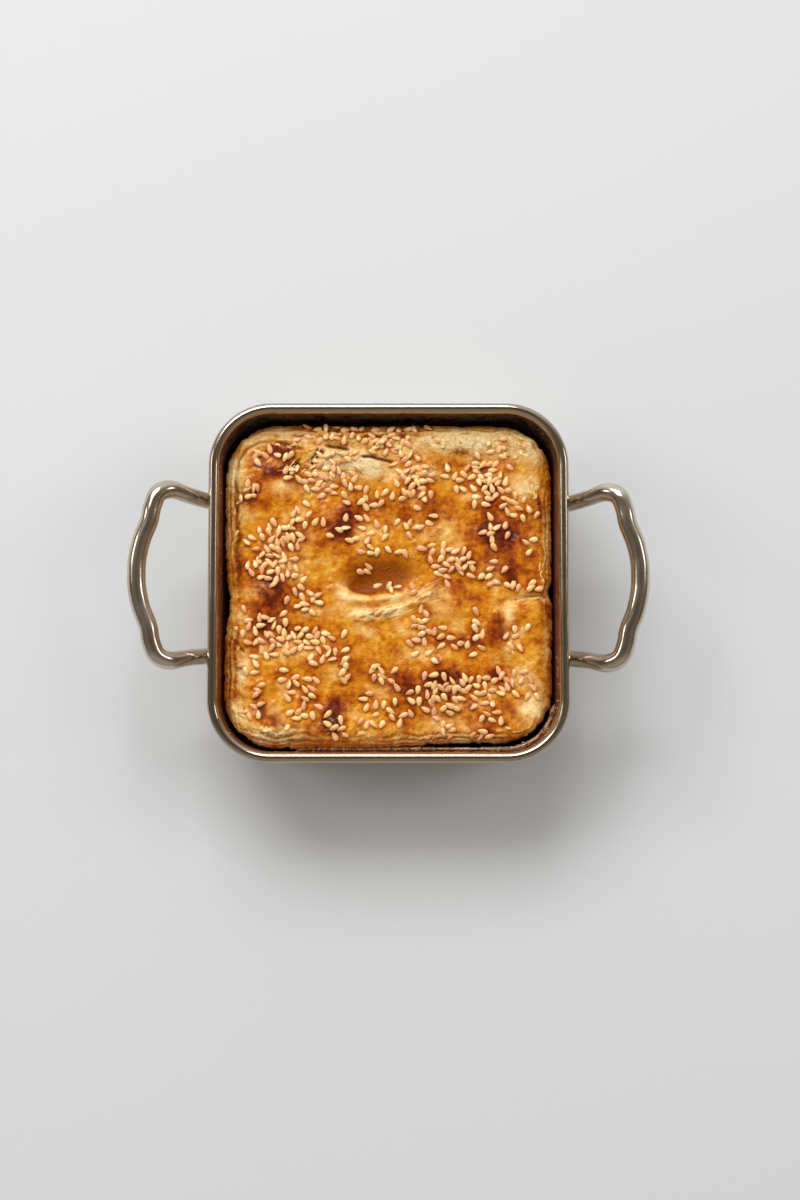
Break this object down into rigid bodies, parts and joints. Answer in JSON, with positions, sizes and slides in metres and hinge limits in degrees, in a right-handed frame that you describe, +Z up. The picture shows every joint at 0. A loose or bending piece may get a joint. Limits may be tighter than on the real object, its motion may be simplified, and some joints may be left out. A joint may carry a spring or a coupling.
{
  "type": "meat and potato pie in a square dish",
  "caption": "Square sesame-topped meat and potato pie with a glazed browned crust, in its own small steel baking dish with two loop handles.",
  "frame": {"origin": "on the ground, under the middle of the dish", "axes": "+X from handle to handle, +Z up, -Y the side that faces the viewer"},
  "size_m": [0.1718, 0.12, 0.0506],
  "materials": {
    "dish_steel": "bright stainless sheet, fine drawn lines, baking stains inside",
    "handle_steel": "polished stainless rod",
    "crust": "egg-glazed golden pastry with browned patches and pale sesame seeds"
  },
  "bodies": {
    "root": {"dish": "dish_steel", "handle_left": "handle_steel", "handle_right": "handle_steel", "pie": "crust"}
  },
  "joints": []
}
